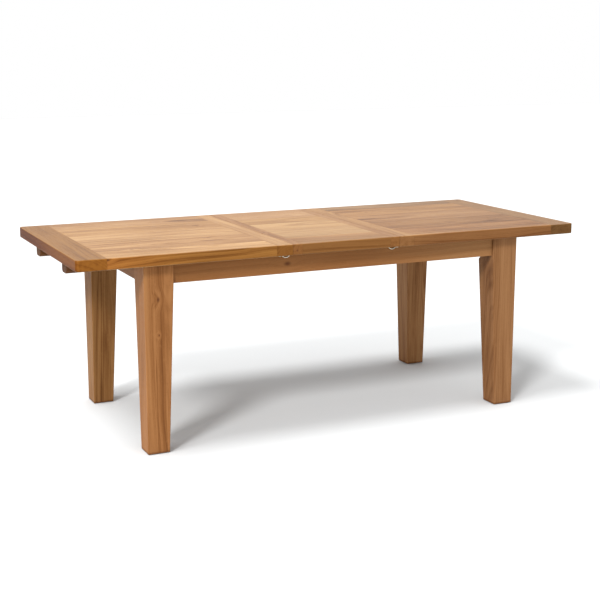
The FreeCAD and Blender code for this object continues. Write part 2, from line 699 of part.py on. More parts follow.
def half_top(half, side, rail_y_name, pivot_x):
    """One half of the top: breadboard end, planks, cross band, rails and their screws."""
    rail_y = "Sizes." + rail_y_name

    def rail_pilots(name, x, rows=ROWS):
        return [wood_screw("%s_pilot_%s" % (name, row_name), *rail_screw_line(side, rail_y, row, x),
                           "Sizes.pilot_play") for row_name, row in rows]

    def plank_pilots(name, low, high):
        rows = [(row_name, row) for row_name, row in ROWS if low < row * read(rail_y_name) < high]
        return rail_pilots(name, RAIL_SCREWS[1], rows) if rows else ()

    outer_low = "-%s" % TABLE_EDGE
    band_low = "-%s - Sizes.half_band_width" % HALF_EDGE
    plank_low = "-%s + Sizes.breadboard_width" % TABLE_EDGE
    if side > 0:
        outer_low = "%s - Sizes.breadboard_width" % TABLE_EDGE
        band_low = HALF_EDGE
        plank_low = "%s + Sizes.half_band_width" % HALF_EDGE
    front_low = "-Sizes.table_width / 2"
    end_rim = {"y0", "y1", "x0" if side < 0 else "x1"}

    name = half + "_breadboard_end"
    size = (("Sizes.breadboard_width", read("breadboard_width")), TABLE_WIDTH)
    board(name, (outer_low, front_low), size, TOP_UNDER, end_rim, rail_pilots(name, RAIL_SCREWS[0]))

    plank_text = "(Sizes.half_length - Sizes.breadboard_width - Sizes.half_band_width)"
    plank_length = read("half_length") - read("breadboard_width") - read("half_band_width")
    planks(half, plank_low, (plank_text, plank_length), seams(HALF_SEAMS, side), TOP_UNDER, plank_pilots)

    name = half + "_cross_band"
    tools = rail_pilots(name, RAIL_SCREWS[2])
    tools += [pivot_shank("%s_pivot_pilot_%s" % (name, row_name), side, pivot_x, row, "Sizes.pilot_play")
              for row_name, row in ROWS]
    size = (("Sizes.half_band_width", read("half_band_width")), TABLE_WIDTH)
    board(name, (band_low, front_low), size, TOP_UNDER, {"y0", "y1"}, tools)

    for row_name, row in ROWS:
        rail(half, side, rail_y, row_name, row, side < 0)
    node(group(half + "_rail_screws", [
        wood_screw("%s_rail_screw_%s_%d" % (half, row_name, i + 1), *rail_screw_line(side, rail_y, row, x))
        for row_name, row in ROWS for i, x in enumerate(RAIL_SCREWS)
    ]))
    node(group(half + "_catch_pivots", [
        catch_pivot("%s_pivot_%s" % (half, row_name), side, pivot_x, row) for row_name, row in ROWS
    ]))


def catch_pivot(name, side, pivot_x, row):
    """A shouldered screw: collar against the top, shank through the catch's eye, head below."""
    x = "%d * %s" % (side, pivot_x)
    y = "%d * Sizes.catch_y" % row
    head_top = "%s - Sizes.catch_metal - Sizes.catch_play" % CATCH_TOP
    collar = rod(name + "_collar", "Sizes.catch_eye_radius", "Sizes.collar_height",
                 (x, y, "%s - Sizes.collar_height" % TOP_UNDER))
    neck = rod(name + "_neck", "Sizes.screw_radius", "%s - (%s)" % (TOP_UNDER, head_top), (x, y, head_top))
    head = rod(name + "_head", "Sizes.screw_head_radius", "Sizes.pivot_head_height",
               (x, y, "%s - Sizes.pivot_head_height" % head_top))
    return fuse(name, [collar, neck, head, pivot_shank(name + "_shank", side, pivot_x, row, "0")])


half_top("left", -1, "left_rail_y", "Sizes.catch_left_pivot_x")
half_top("right", 1, "right_rail_y", "Sizes.catch_right_pivot_x")


# ---------------------------------------------------------------- leaf and its keepers

KEEPERS = (("left", -1, "Sizes.keeper_left_x"), ("right", 1, "Sizes.keeper_right_x"))


def keeper_screw(name, side, keeper_x, row, step, play):
    """A small countersunk screw of a keeper, or the tool that drills and sinks its hole."""
    at = ("%d * %s + %d * Sizes.keeper_screw_offset" % (side, keeper_x, step),
          "%d * Sizes.catch_y" % row, "%s - Sizes.keeper_metal" % LEAF_UNDER)
    head = doc.addObject("Part::Cone", name + "_head")
    head.setExpression("Radius1", "Sizes.keeper_screw_head + %s" % play)
    head.setExpression("Radius2", "Sizes.keeper_screw_radius + %s" % play)
    head.setExpression("Height", "Sizes.keeper_metal")
    place(head, *at)
    shank = rod(name + "_shank", "Sizes.keeper_screw_radius + %s" % play,
                "Sizes.keeper_screw_bite + Sizes.keeper_metal", at)
    return fuse(name, [head, shank])


def keeper_screws(name, side, keeper_x, row, play="0"):
    return [keeper_screw("%s_%d" % (name, index + 1), side, keeper_x, row, step, play)
            for index, step in enumerate((-1, 1))]


def keeper(name, side, keeper_x, row):
    """A steel plate under the leaf's edge, above the free end of a catch."""
    plate = block(name + "_plate", ("Sizes.keeper_length", "Sizes.keeper_width", "Sizes.keeper_metal"),
                  ("%d * %s - Sizes.keeper_length / 2" % (side, keeper_x),
                   "%d * Sizes.catch_y - Sizes.keeper_width / 2" % row,
                   "%s - Sizes.keeper_metal" % LEAF_UNDER))
    return cut(name, plate, keeper_screws(name + "_sink", side, keeper_x, row, "Sizes.pilot_play"))


def leaf():
    """The loose leaf: two cross bands, planks between them, and keepers below."""
    band_size = (("Sizes.leaf_band_width", read("leaf_band_width")), TABLE_WIDTH)
    front_low = "-Sizes.table_width / 2"
    for side_name, side, keeper_x in KEEPERS:
        name = "leaf_band_" + side_name
        low_x = "-%s" % LEAF_EDGE if side < 0 else "%s - Sizes.leaf_band_width" % LEAF_EDGE
        tools = []
        for row_name, row in ROWS:
            pilot_name = "%s_pilot_%s" % (name, row_name)
            tools += keeper_screws(pilot_name, side, keeper_x, row, "Sizes.pilot_play")
        board(name, (low_x, front_low), band_size, LEAF_UNDER, {"y0", "y1"}, tools)
    plank_text = "(Sizes.leaf_length - 2 * Sizes.leaf_band_width)"
    plank_length = read("leaf_length") - 2 * read("leaf_band_width")
    planks("leaf", "-%s + Sizes.leaf_band_width" % LEAF_EDGE, (plank_text, plank_length),
           seams(LEAF_SEAMS, -1), LEAF_UNDER, lambda name, low, high: ())
    places = [("%s_%s" % (row_name, side_name), side, keeper_x, row)
              for side_name, side, keeper_x in KEEPERS for row_name, row in ROWS]
    node(group("leaf_keepers", [
        keeper("keeper_" + name, side, keeper_x, row) for name, side, keeper_x, row in places
    ]))
    screws = []
    for name, side, keeper_x, row in places:
        screws += keeper_screws("keeper_screw_" + name, side, keeper_x, row)
    node(group("leaf_keeper_screws", screws))


leaf()


# ---------------------------------------------------------------- swing catches

def catch(name, side, pivot_x, row):
    """A bowed steel strap that turns on its pivot and reaches across the joint."""
    low_y = "-Sizes.catch_width / 2"
    under = "-Sizes.catch_metal"
    middle = "Sizes.catch_reach / 2"
    centre_z = "Sizes.catch_bow_radius - Sizes.catch_bow_depth - Sizes.catch_metal"
    pad_size = ("Sizes.catch_pad", "Sizes.catch_width", "Sizes.catch_metal")
    near_pad = block(name + "_near_pad", pad_size, ("0", low_y, under))
    far_pad = block(name + "_far_pad", pad_size, ("Sizes.catch_reach - Sizes.catch_pad", low_y, under))
    eye = rod(name + "_eye", "Sizes.catch_eye_radius", "Sizes.catch_metal", ("0", "0", under))
    outer = rod(name + "_outer", "Sizes.catch_bow_radius", "Sizes.catch_width",
                (middle, low_y, centre_z), Y_AXIS)
    inner = rod(name + "_inner", "Sizes.catch_bow_radius - Sizes.catch_metal", "2 * Sizes.catch_width",
                (middle, "-Sizes.catch_width", centre_z), Y_AXIS)
    above = block(name + "_above", ("2 * Sizes.catch_reach", "2 * Sizes.catch_width", "Sizes.catch_reach"),
                  ("-%s" % middle, "-Sizes.catch_width", "0"))
    bow = cut(name + "_bow", outer, [inner, above])
    hole = rod(name + "_hole", "Sizes.screw_radius + Sizes.pivot_play", "Sizes.catch_reach",
               ("0", "0", "-%s" % middle))
    strap = cut(name, fuse(name + "_strap", [near_pad, far_pad, eye, bow]), [hole])
    turn = FreeCAD.Rotation(Z_AXIS, 0 if side < 0 else 180)
    return node(place(strap, "%d * %s" % (side, pivot_x), "%d * Sizes.catch_y" % row, CATCH_TOP, turn))


for catch_row_name, catch_row in ROWS:
    catch("catch_%s_left" % catch_row_name, -1, "Sizes.catch_left_pivot_x", catch_row)
    catch("catch_%s_right" % catch_row_name, 1, "Sizes.catch_right_pivot_x", catch_row)


# ---------------------------------------------------------------- check and write

doc.recompute()
for item in doc.Objects:
    if "Invalid" in item.State or "Error" in item.State:
        raise ValueError("%s did not build: %s" % (item.Name, item.State))
labels = [piece.Label for piece in NODES]
if len(set(labels)) != len(labels):
    raise ValueError("two pieces share a label")
for piece in NODES:
    if piece.Shape.isNull() or not piece.Shape.isValid() or not piece.Shape.Solids:
        raise ValueError("%s has no valid solid" % piece.Label)

os.makedirs("parts", exist_ok=True)
for piece in NODES:
    piece.Shape.exportStep("parts/%s.step" % piece.Label)
    box = piece.Shape.BoundBox
    print("%-26s %2d solids %12.1f mm3  z %.1f to %.1f"
          % (piece.Label, len(piece.Shape.Solids), piece.Shape.Volume, box.ZMin, box.ZMax))
print(len(NODES), "nodes")
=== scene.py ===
import math
import random
import bpy
from mathutils import Euler, Matrix, Vector


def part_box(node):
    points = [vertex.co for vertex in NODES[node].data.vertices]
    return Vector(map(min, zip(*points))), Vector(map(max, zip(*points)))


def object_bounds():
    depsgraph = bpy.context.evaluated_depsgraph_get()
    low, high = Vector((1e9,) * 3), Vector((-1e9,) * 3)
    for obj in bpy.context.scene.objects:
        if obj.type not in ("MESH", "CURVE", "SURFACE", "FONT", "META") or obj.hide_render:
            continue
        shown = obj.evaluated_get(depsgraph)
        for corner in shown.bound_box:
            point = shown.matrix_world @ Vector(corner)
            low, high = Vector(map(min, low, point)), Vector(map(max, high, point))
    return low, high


# An extendable oak dining table, shown extended with its leaf in place.
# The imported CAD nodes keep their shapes. This script gives them light, a camera and materials.
# All lengths are in metres, in the table's own frame: +X along it, -Y its front, +Z up.

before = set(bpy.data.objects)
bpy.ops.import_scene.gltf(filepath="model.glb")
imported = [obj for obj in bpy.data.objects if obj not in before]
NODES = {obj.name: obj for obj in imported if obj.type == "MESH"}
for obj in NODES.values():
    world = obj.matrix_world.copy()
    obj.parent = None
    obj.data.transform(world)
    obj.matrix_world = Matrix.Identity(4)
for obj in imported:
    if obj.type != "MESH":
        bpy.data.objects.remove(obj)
CAD_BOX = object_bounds()
MM = 0.001


# ---------------------------------------------------------------- camera, light and floor

CAMERA_AT = Vector((-2.163, -4.628, 1.525))
CAMERA_AZIMUTH = math.radians(25.11)
CAMERA_DOWN = math.radians(11.92)
CAMERA_LENS = 73.4


def make_camera():
    """A long lens from the front left, a little above the top."""
    data = bpy.data.cameras.new("camera")
    data.lens = CAMERA_LENS
    camera = bpy.data.objects.new("camera", data)
    bpy.context.scene.collection.objects.link(camera)
    turn = Euler((math.pi / 2 - CAMERA_DOWN, 0, -CAMERA_AZIMUTH), "XYZ").to_matrix()
    camera.matrix_world = Matrix.Translation(CAMERA_AT) @ turn.to_4x4()
    bpy.context.scene.camera = camera


# The soft distant lights: where each comes from in plan, its tilt away from straight above and its
# own spread in degrees, and its strength.
SUNS = {
    "overhead_light": {"plan": (-1.0, -0.1), "tilt": 22, "spread_angle": 20, "strength": 2.6},
    "front_left_light": {"plan": (-1.0, -0.85), "tilt": 52, "spread_angle": 12, "strength": 2.6},
}
FLOOR_HALF = 20
FLOOR_COLOURS = ((0.545, 0.555, 0.56, 1.0), (0.56, 0.57, 0.575, 1.0))


def soft_sun(name, plan, tilt, spread_angle, strength):
    """A soft distant light from a plan direction, tilted away from straight above."""
    data = bpy.data.lights.new(name, "SUN")
    data.energy = strength
    data.angle = math.radians(spread_angle)
    light = bpy.data.objects.new(name, data)
    bpy.context.scene.collection.objects.link(light)
    level = Vector(plan + (0,)).normalized() * math.sin(math.radians(tilt))
    source = level + Vector((0, 0, math.cos(math.radians(tilt))))
    light.rotation_euler = source.to_track_quat("Z", "Y").to_euler()


def make_light():
    """White surroundings, a soft light overhead and another from the front left."""
    world = bpy.data.worlds.new("studio")
    world.use_nodes = True
    background = world.node_tree.nodes["Background"]
    background.inputs["Color"].default_value = (1, 1, 1, 1)
    background.inputs["Strength"].default_value = 1.0
    bpy.context.scene.world = world
    bpy.context.scene.view_settings.view_transform = "Standard"
    for name, settings in SUNS.items():
        soft_sun(name, **settings)


def make_floor():
    """A wide, plain, pale studio floor."""
    mesh = bpy.data.meshes.new("floor")
    corners = [(FLOOR_HALF * x, FLOOR_HALF * y, 0) for x, y in ((-1, -1), (1, -1), (1, 1), (-1, 1))]
    mesh.from_pydata(corners, [], [(0, 1, 2, 3)])
    floor = bpy.data.objects.new("floor", mesh)
    bpy.context.scene.collection.objects.link(floor)
    mesh.materials.append(floor_paint())


# ---------------------------------------------------------------- node helpers

def feed(tree, socket, value):
    """Link a node's output to a socket, or set the socket to a plain value."""
    if isinstance(value, bpy.types.NodeSocket):
        tree.links.new(value, socket)
    else:
        socket.default_value = value


def shade(tree, kind, inputs, **settings):
    """A shader node with its settings and its inputs by name."""
    node = tree.nodes.new("ShaderNode" + kind)
    for name, value in settings.items():
        setattr(node, name, value)
    for name, value in inputs.items():
        feed(tree, node.inputs[name], value)
    return node


def calc(tree, operation, *values):
    """The result of one math node."""
    node = tree.nodes.new("ShaderNodeMath")
    node.operation = operation
    for socket, value in zip(node.inputs, values):
        feed(tree, socket, value)
    return node.outputs[0]


def vector_calc(tree, operation, *values):
    """The vector result of one vector math node."""
    node = tree.nodes.new("ShaderNodeVectorMath")
    node.operation = operation
    for socket, value in zip(node.inputs, values):
        feed(tree, socket, value)
    return node.outputs["Vector"]


def length_of(tree, vector):
    """The length of a vector."""
    node = tree.nodes.new("ShaderNodeVectorMath")
    node.operation = "LENGTH"
    feed(tree, node.inputs[0], vector)
    return node.outputs["Value"]


def parts_of(tree, vector):
    """The x, y and z of a vector."""
    return shade(tree, "SeparateXYZ", {"Vector": vector}).outputs


def noise(tree, vector, stretch, detail=1.0, roughness=0.5):
    """Solid noise from 0 to 1, with its own number of waves a metre along each axis."""
    scaled = vector_calc(tree, "MULTIPLY", vector, stretch)
    inputs = {"Vector": scaled, "Scale": 1.0, "Detail": detail, "Roughness": roughness}
    return shade(tree, "TexNoise", inputs).outputs["Fac"]


def line_noise(tree, value, waves, detail=0.0):
    """Noise from 0 to 1 along a line, with a number of waves a metre."""
    inputs = {"W": value, "Scale": waves, "Detail": detail}
    return shade(tree, "TexNoise", inputs, noise_dimensions="1D").outputs["Fac"]


def ease_between(tree, value, low, high, to_low=0.0, to_high=1.0):
    """A value eased from one range to another, and held at its ends."""
    inputs = {"Value": value, "From Min": low, "From Max": high, "To Min": to_low, "To Max": to_high}
    return shade(tree, "MapRange", inputs, interpolation_type="SMOOTHSTEP").outputs["Result"]


def spread(tree, value, low, high, to_low=0.0, to_high=1.0):
    """A value moved in a straight line from one range to another, and held at its ends."""
    inputs = {"Value": value, "From Min": low, "From Max": high, "To Min": to_low, "To Max": to_high}
    return shade(tree, "MapRange", inputs).outputs["Result"]


def mix(tree, factor, low, high, blend="MIX"):
    """Two colours mixed by a factor."""
    node = tree.nodes.new("ShaderNodeMix")
    node.data_type = "RGBA"
    node.blend_type = blend
    feed(tree, node.inputs[0], factor)
    feed(tree, node.inputs[6], low)
    feed(tree, node.inputs[7], high)
    return node.outputs[2]


def ramp(tree, factor, stops, interpolation="LINEAR"):
    """A colour ramp from (position, colour) stops."""
    node = tree.nodes.new("ShaderNodeValToRGB")
    node.color_ramp.interpolation = interpolation
    feed(tree, node.inputs["Fac"], factor)
    elements = node.color_ramp.elements
    while len(elements) < len(stops):
        elements.new(0.5)
    for element, (position, colour) in zip(elements, stops):
        element.position = position
        element.color = colour
    return node.outputs["Color"]


def paint(red, green, blue):
    """A linear colour from the 0 to 255 numbers that a screen shows."""
    def linear(level):
        level /= 255
        return level / 12.92 if level <= 0.04045 else ((level + 0.055) / 1.055) ** 2.4
    return (linear(red), linear(green), linear(blue), 1.0)


def tinted(colour, tint):
    """A colour multiplied by a tint."""
    return tuple(a * b for a, b in zip(colour, tint)) + (1.0,)


def start_material(name):
    """A new material, its node tree and its surface shader."""
    material = bpy.data.materials.new(name)
    material.use_nodes = True
    tree = material.node_tree
    return material, tree, tree.nodes["Principled BSDF"]


def add_bump(tree, shader, height, depth, strength=1.0):
    """Relief from a height of 0 to 1, as deep as depth."""
    inputs = {"Height": height, "Distance": depth, "Strength": strength}
    feed(tree, shader.inputs["Normal"], shade(tree, "Bump", inputs).outputs["Normal"])


# ---------------------------------------------------------------- wood

# How a wood's colour changes from its darkest late wood to its palest, around its own colour.
TONES = (
    (0.00, (0.45, 0.37, 0.30)),
    (0.28, (0.77, 0.71, 0.64)),
    (0.50, (1.00, 1.00, 1.00)),
    (0.72, (1.13, 1.18, 1.22)),
    (1.00, (1.26, 1.38, 1.50)),
)

# How a grain that runs along X is turned to run along each axis.
GRAIN_TURNS = {
    "x": Matrix.Identity(3),
    "y": Matrix.Rotation(-math.pi / 2, 3, "Z"),
    "z": Matrix.Rotation(math.pi / 2, 3, "Y"),
}
GRAIN_AXES = {"x": (1, 0, 0), "y": (0, 1, 0), "z": (0, 0, 1)}
STAVE_JUMP = (3.7, 0.031, -0.045)

# How the grain wanders: its waves a metre along and across it, how far it strays, and a knot's swelling.
SWAY_WAVES = (1.3, 4.5, 4.5)
SWAY_REACH = (0.0, 0.05, 0.05)
KNOT_SWELLING = 0.012
KNOT_STRETCH = 0.6


class Timber:
    """How one board was cut from its log: its place along it, the place of the pith, and its slope."""

    def __init__(self, name, grain):
        chance = random.Random(name)
        low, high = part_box(name)
        self.grain = grain
        self.middle = (low + high) / 2
        self.half = (high - low) / 2
        self.along = chance.uniform(0, 40)
        self.pith_aside = chance.uniform(-0.09, 0.09)
        self.pith_deep = chance.uniform(0.05, 0.16)
        slope = Euler((0, chance.uniform(-0.035, 0.035), chance.uniform(-0.02, 0.02))).to_matrix()
        self.turn = slope @ GRAIN_TURNS[grain]

    def log_point(self, tree, point):
        """A point in the log's frame, with the pith along its X axis."""
        centre = self.turn @ self.middle
        place = Vector((self.along, self.pith_aside, self.pith_deep)) - centre
        inputs = {"Vector": point, "Rotation": self.turn.to_euler("XYZ"), "Location": place}
        return shade(tree, "Mapping", inputs).outputs["Vector"]


def knot_and_shade_masks(tree, point, timber, knot_and_shade_spots):
    """How near a point is to the knots and painted shadow spots: a wide mask that bends the grain, and a
    tight dark one.
    """
    wide = 0.0
    dark = 0.0
    for place, radius in knot_and_shade_spots:
        offset = vector_calc(tree, "SUBTRACT", point, place)
        stretch = [1.0, 1.0, 1.0]
        stretch["xyz".index(timber.grain)] = KNOT_STRETCH
        away = length_of(tree, vector_calc(tree, "MULTIPLY", offset, stretch))
        wide = calc(tree, "ADD", wide, ease_between(tree, away, 5 * radius, 0.0))
        dark = calc(tree, "ADD", dark, ease_between(tree, away, 1.3 * radius, 0.1 * radius))
    return wide, dark


def stave_steps(tree, timber, point, tones):
    """The tone of each stave across X, and how far its figure jumps from the first one's."""
    across = parts_of(tree, point)["X"]
    low = timber.middle.x - timber.half.x
    share = spread(tree, across, low, low + 2 * timber.half.x)
    stops = [(i / len(tones), (0.5 + tone,) * 3 + (1.0,)) for i, tone in enumerate(tones)]
    level = shade(tree, "SeparateXYZ", {"Vector": ramp(tree, share, stops, "CONSTANT")}).outputs["X"]
    index = calc(tree, "FLOOR", calc(tree, "MULTIPLY", share, len(tones)))
    step = shade(tree, "CombineXYZ", {"X": index, "Y": index, "Z": index}).outputs["Vector"]
    return calc(tree, "SUBTRACT", level, 0.5), vector_calc(tree, "MULTIPLY", step, STAVE_JUMP)


def wood_figure(tree, timber, knot_and_shade_spots, staves):
    """The figure of a board: its shade, growth rings, pores and fibres, each from 0 to 1."""
    point = shade(tree, "TexCoord", {}).outputs["Object"]
    log = timber.log_point(tree, point)
    tone = 0.0
    if staves:
        tone, jump = stave_steps(tree, timber, point, staves)
        log = vector_calc(tree, "ADD", log, jump)

    knot_wide, knot_and_shade_dark = knot_and_shade_masks(tree, point, timber, knot_and_shade_spots)
    stretched = vector_calc(tree, "MULTIPLY", log, SWAY_WAVES)
    sway = shade(tree, "TexNoise", {"Vector": stretched, "Scale": 1.0, "Detail": 2.0}).outputs["Color"]
    sway = vector_calc(tree, "SUBTRACT", sway, (0.5, 0.5, 0.5))
    bent = vector_calc(tree, "ADD", log, vector_calc(tree, "MULTIPLY", sway, SWAY_REACH))
    radius = length_of(tree, vector_calc(tree, "MULTIPLY", bent, (0.0, 1.0, 1.0)))
    radius = calc(tree, "ADD", radius, calc(tree, "MULTIPLY", knot_wide, KNOT_SWELLING))
    return {
        "point": point,
        "tone": tone,
        "knot_and_shade": knot_and_shade_dark,
        "zone": line_noise(tree, radius, 26, 1.0),
        "band": line_noise(tree, radius, 95, 1.0),
        "ring": line_noise(tree, radius, 340),
        "streak": noise(tree, bent, (1.7, 60, 60), 2.0, 0.6),
        "patch": noise(tree, bent, (2.2, 7, 7)),
        "fibre": noise(tree, bent, (22, 950, 950), 2.0, 0.6),
        "pore": noise(tree, bent, (75, 1700, 1700)),
        "ray": noise(tree, bent, (38, 420, 60), 1.0),
    }


def half_tone(tone):
    """A tone at half its strength, so that tones above 1 fit in a colour."""
    return tinted(tone, (0.5, 0.5, 0.5))


def half_stops(tones):
    """The stops of a colour ramp, at half strength."""
    return [(position, half_tone(tone)) for position, tone in tones]


def doubled(tree, colour):
    """A colour at twice its strength, which undoes half_tone."""
    return vector_calc(tree, "MULTIPLY", colour, (2.0, 2.0, 2.0))


def weigh(tree, figure, contrast):
    """The sum of a figure's parts about their middles, each with its weight."""
    total = figure["tone"]
    for part, weight in FIGURE_WEIGHTS.items():
        share = calc(tree, "MULTIPLY", calc(tree, "SUBTRACT", figure[part], 0.5), weight * contrast)
        total = calc(tree, "ADD", total, share)
    return total


def facing(tree, axis):
    """How squarely a surface faces along an axis, either way: 0 to 1."""
    normal = shade(tree, "TexCoord", {}).outputs["Normal"]
    node = tree.nodes.new("ShaderNodeVectorMath")
    node.operation = "DOT_PRODUCT"
    feed(tree, node.inputs[0], normal)
    feed(tree, node.inputs[1], GRAIN_AXES[axis])
    return calc(tree, "ABSOLUTE", node.outputs["Value"])


def edge_closeness(tree, point, middle, half, reach):
    """1 on the edges of a box and 0 at a reach away from them, for a point on its surface."""
    offset = vector_calc(tree, "ABSOLUTE", vector_calc(tree, "SUBTRACT", point, middle))
    inside = parts_of(tree, vector_calc(tree, "SUBTRACT", offset, half))
    low = calc(tree, "MINIMUM", inside[0], inside[1])
    high = calc(tree, "MAXIMUM", inside[0], inside[1])
    second = calc(tree, "MAXIMUM", low, calc(tree, "MINIMUM", high, inside[2]))
    return ease_between(tree, second, -reach, -0.2 * reach)


# How much each part of the figure counts, and the share of it that shows on upright edges.
FIGURE_WEIGHTS = {"zone": 0.42, "band": 0.46, "ring": 0.30, "streak": 0.75, "patch": 0.50, "fibre": 0.25}
EDGE_FIGURE = 0.9
FIGURE_RELIEF = 0.12 * MM
EDGE_SHINE = 0.05
TOP_SHINE = 0.2

# The colour and strength of knots, a colour that also paints shade at the legs' feet and a shadow spot
# under a catch, how far worn rims and dark seams reach (on the legs the worn rims are also a painted
# highlight), and the painted shade at the foot of each leg, where it meets the floor.
KNOT_AND_SHADE_COLOUR = paint(84, 48, 28)
KNOT_AND_SHADE_STRENGTH = 0.85
PORE_STRENGTH = 0.40
WEAR_AND_HIGHLIGHT_REACH = 4 * MM
SEAM_REACH = 2 * MM
SEAM_STRENGTH = 0.16
FOOT_SHADE_TOP = 14 * MM
FOOT_SHADE_FULL = 5 * MM
FOOT_SHADE_STRENGTH = 0.55

NO_TINT = (1.0, 1.0, 1.0)
END_GRAIN_TINT = (0.80, 0.75, 0.70)


def faded_colour(tree, point, colour, start_tint, fade):
    """A colour with a tint that changes along an axis."""
    near = tinted(colour, start_tint)
    if not fade:
        return near
    axis, start, stop, tint = fade
    along = ease_between(tree, parts_of(tree, point)[axis], start, stop)
    return mix(tree, along, near, tinted(colour, tint))


def pore_mask(tree, figure):
    """Where the open pores of the early wood are cut through."""
    open_ring = ease_between(tree, figure["ring"], 0.56, 0.40)
    return calc(tree, "MULTIPLY", ease_between(tree, figure["pore"], 0.56, 0.68), open_ring)


def surface_tone(tree, timber, figure, contrast, upright, pores, wear_and_highlight_box):
    """The tone of a board's figure, with its pores, rays, worn rim (on the legs also a painted highlight)
    and dark seams, at half strength.
    """
    dark, pale = half_tone(TONES[0][1]), half_tone(TONES[-1][1])
    total = weigh(tree, figure, contrast)
    total = calc(tree, "MULTIPLY", total, spread(tree, upright, 0.0, 1.0, 1.0, EDGE_FIGURE))
    tone = ramp(tree, calc(tree, "ADD", total, 0.5), half_stops(TONES))
    tone = mix(tree, calc(tree, "MULTIPLY", pores, PORE_STRENGTH), tone, dark)
    tone = mix(tree, ease_between(tree, figure["ray"], 0.66, 0.74, 0.0, 0.14), tone, pale)
    # Pale worn rims, which on the legs also stand in for the highlight along each arris.
    if wear_and_highlight_box:
        wear_and_highlight = edge_closeness(tree, figure["point"], *wear_and_highlight_box, WEAR_AND_HIGHLIGHT_REACH)
        wear_and_highlight = calc(tree, "MULTIPLY", wear_and_highlight, ease_between(tree, figure["streak"], 0.35, 0.6, 0.10, 0.45))
        tone = mix(tree, wear_and_highlight, tone, pale)
    seam = edge_closeness(tree, figure["point"], timber.middle, timber.half, SEAM_REACH)
    return mix(tree, calc(tree, "MULTIPLY", seam, SEAM_STRENGTH), tone, dark)


def oil_finish(tree, shader, figure, pores, across, gloss):
    """The gloss and relief of an oiled board, duller on end grain and on upright faces."""
    rough = spread(tree, figure["fibre"], 0.3, 0.7, gloss + 0.1, gloss - 0.06)
    rough = calc(tree, "ADD", rough, calc(tree, "MULTIPLY", across, 0.18))
    feed(tree, shader.inputs["Roughness"], rough)
    shine = spread(tree, facing(tree, "z"), 0.3, 0.9, EDGE_SHINE, TOP_SHINE)
    feed(tree, shader.inputs["Specular IOR Level"], shine)
    height = calc(tree, "SUBTRACT", calc(tree, "MULTIPLY", figure["fibre"], 0.5), pores)
    height = calc(tree, "ADD", height, calc(tree, "MULTIPLY", figure["ring"], 0.3))
    add_bump(tree, shader, height, FIGURE_RELIEF, 0.8)


def wood(kind, node_name, grain, colour, contrast=1.0, gloss=0.45, upright_shade=None, fade=None,
         end=END_GRAIN_TINT, knot_and_shade_spots=(), staves=None, wear_and_highlight_box=None, sweep=None, foot_shaded=False):
    """A wooden piece's material: rings cut through at the angle that the board was sawn at.

    upright_shade is the tint of its upright faces, a painted shade, and end that of its end grain, which
    on the left breadboard end is a painted highlight and on the right one a painted shade. sweep changes
    the tint of the whole board along an axis, on the right half's planks as painted light, and fade
    changes that of its upright faces, as painted light and shade.
    """
    material, tree, shader = start_material(kind + "_" + node_name)
    timber = Timber(node_name, grain)
    figure = wood_figure(tree, timber, knot_and_shade_spots, staves)
    point = figure["point"]
    upright = ease_between(tree, facing(tree, "z"), 0.80, 0.35) if upright_shade else 0.0
    across = ease_between(tree, facing(tree, grain), 0.55, 0.95)
    pores = pore_mask(tree, figure)

    base = faded_colour(tree, point, colour, NO_TINT, sweep)
    # Painted shade: the upright faces take a darker tint, changed along an axis where a fade is given.
    if upright_shade:
        base = mix(tree, upright, base, faded_colour(tree, point, colour, upright_shade, fade))
    base = mix(tree, across, base, end + (1.0,), "MULTIPLY")
    tone = surface_tone(tree, timber, figure, contrast, upright, pores, wear_and_highlight_box)
    painted = mix(tree, 1.0, base, doubled(tree, tone), "MULTIPLY")
    # Knots darken the colour; the knot under the front catch is also a painted shadow.
    painted = mix(tree, calc(tree, "MULTIPLY", figure["knot_and_shade"], KNOT_AND_SHADE_STRENGTH), painted, KNOT_AND_SHADE_COLOUR)
    # Painted shade: each leg darkened toward its foot, where it meets the floor.
    if foot_shaded:
        foot_shade = ease_between(tree, parts_of(tree, point)["Z"], FOOT_SHADE_TOP, FOOT_SHADE_FULL, 0.0, FOOT_SHADE_STRENGTH)
        painted = mix(tree, foot_shade, painted, KNOT_AND_SHADE_COLOUR)
    feed(tree, shader.inputs["Base Color"], painted)
    oil_finish(tree, shader, figure, pores, across, gloss)
    return material


# ---------------------------------------------------------------- metal, plastic and floor

def plated_metal(name, colour, rough, scratch):
    """Plated steel with a faint drawn grain and uneven polish."""
    material, tree, shader = start_material(name)
    point = shade(tree, "TexCoord", {}).outputs["Object"]
    cloud = noise(tree, point, (160, 160, 160), 2.0)
    drawn = noise(tree, point, (300, 300, 3500), 1.0)
    dull = tuple(0.72 * level for level in colour[:3]) + (1.0,)
    feed(tree, shader.inputs["Base Color"], mix(tree, ease_between(tree, cloud, 0.35, 0.65), dull, colour))
    feed(tree, shader.inputs["Roughness"], spread(tree, cloud, 0.3, 0.7, rough + 0.12, rough))
    shader.inputs["Metallic"].default_value = 1.0
    add_bump(tree, shader, drawn, 0.03 * MM, scratch)
    return material


def moulded_nylon():
    """Dark moulded nylon with a fine spark texture and scuffs."""
    material, tree, shader = start_material("moulded_nylon")
    point = shade(tree, "TexCoord", {}).outputs["Object"]
    grit = noise(tree, point, (1800, 1800, 1800), 2.0)
    scuff = ease_between(tree, noise(tree, point, (60, 260, 60), 2.0), 0.55, 0.7)
    feed(tree, shader.inputs["Base Color"], mix(tree, scuff, paint(46, 38, 33), paint(92, 82, 74)))
    feed(tree, shader.inputs["Roughness"], spread(tree, grit, 0.3, 0.7, 0.5, 0.7))
    add_bump(tree, shader, grit, 0.05 * MM, 0.6)
    return material


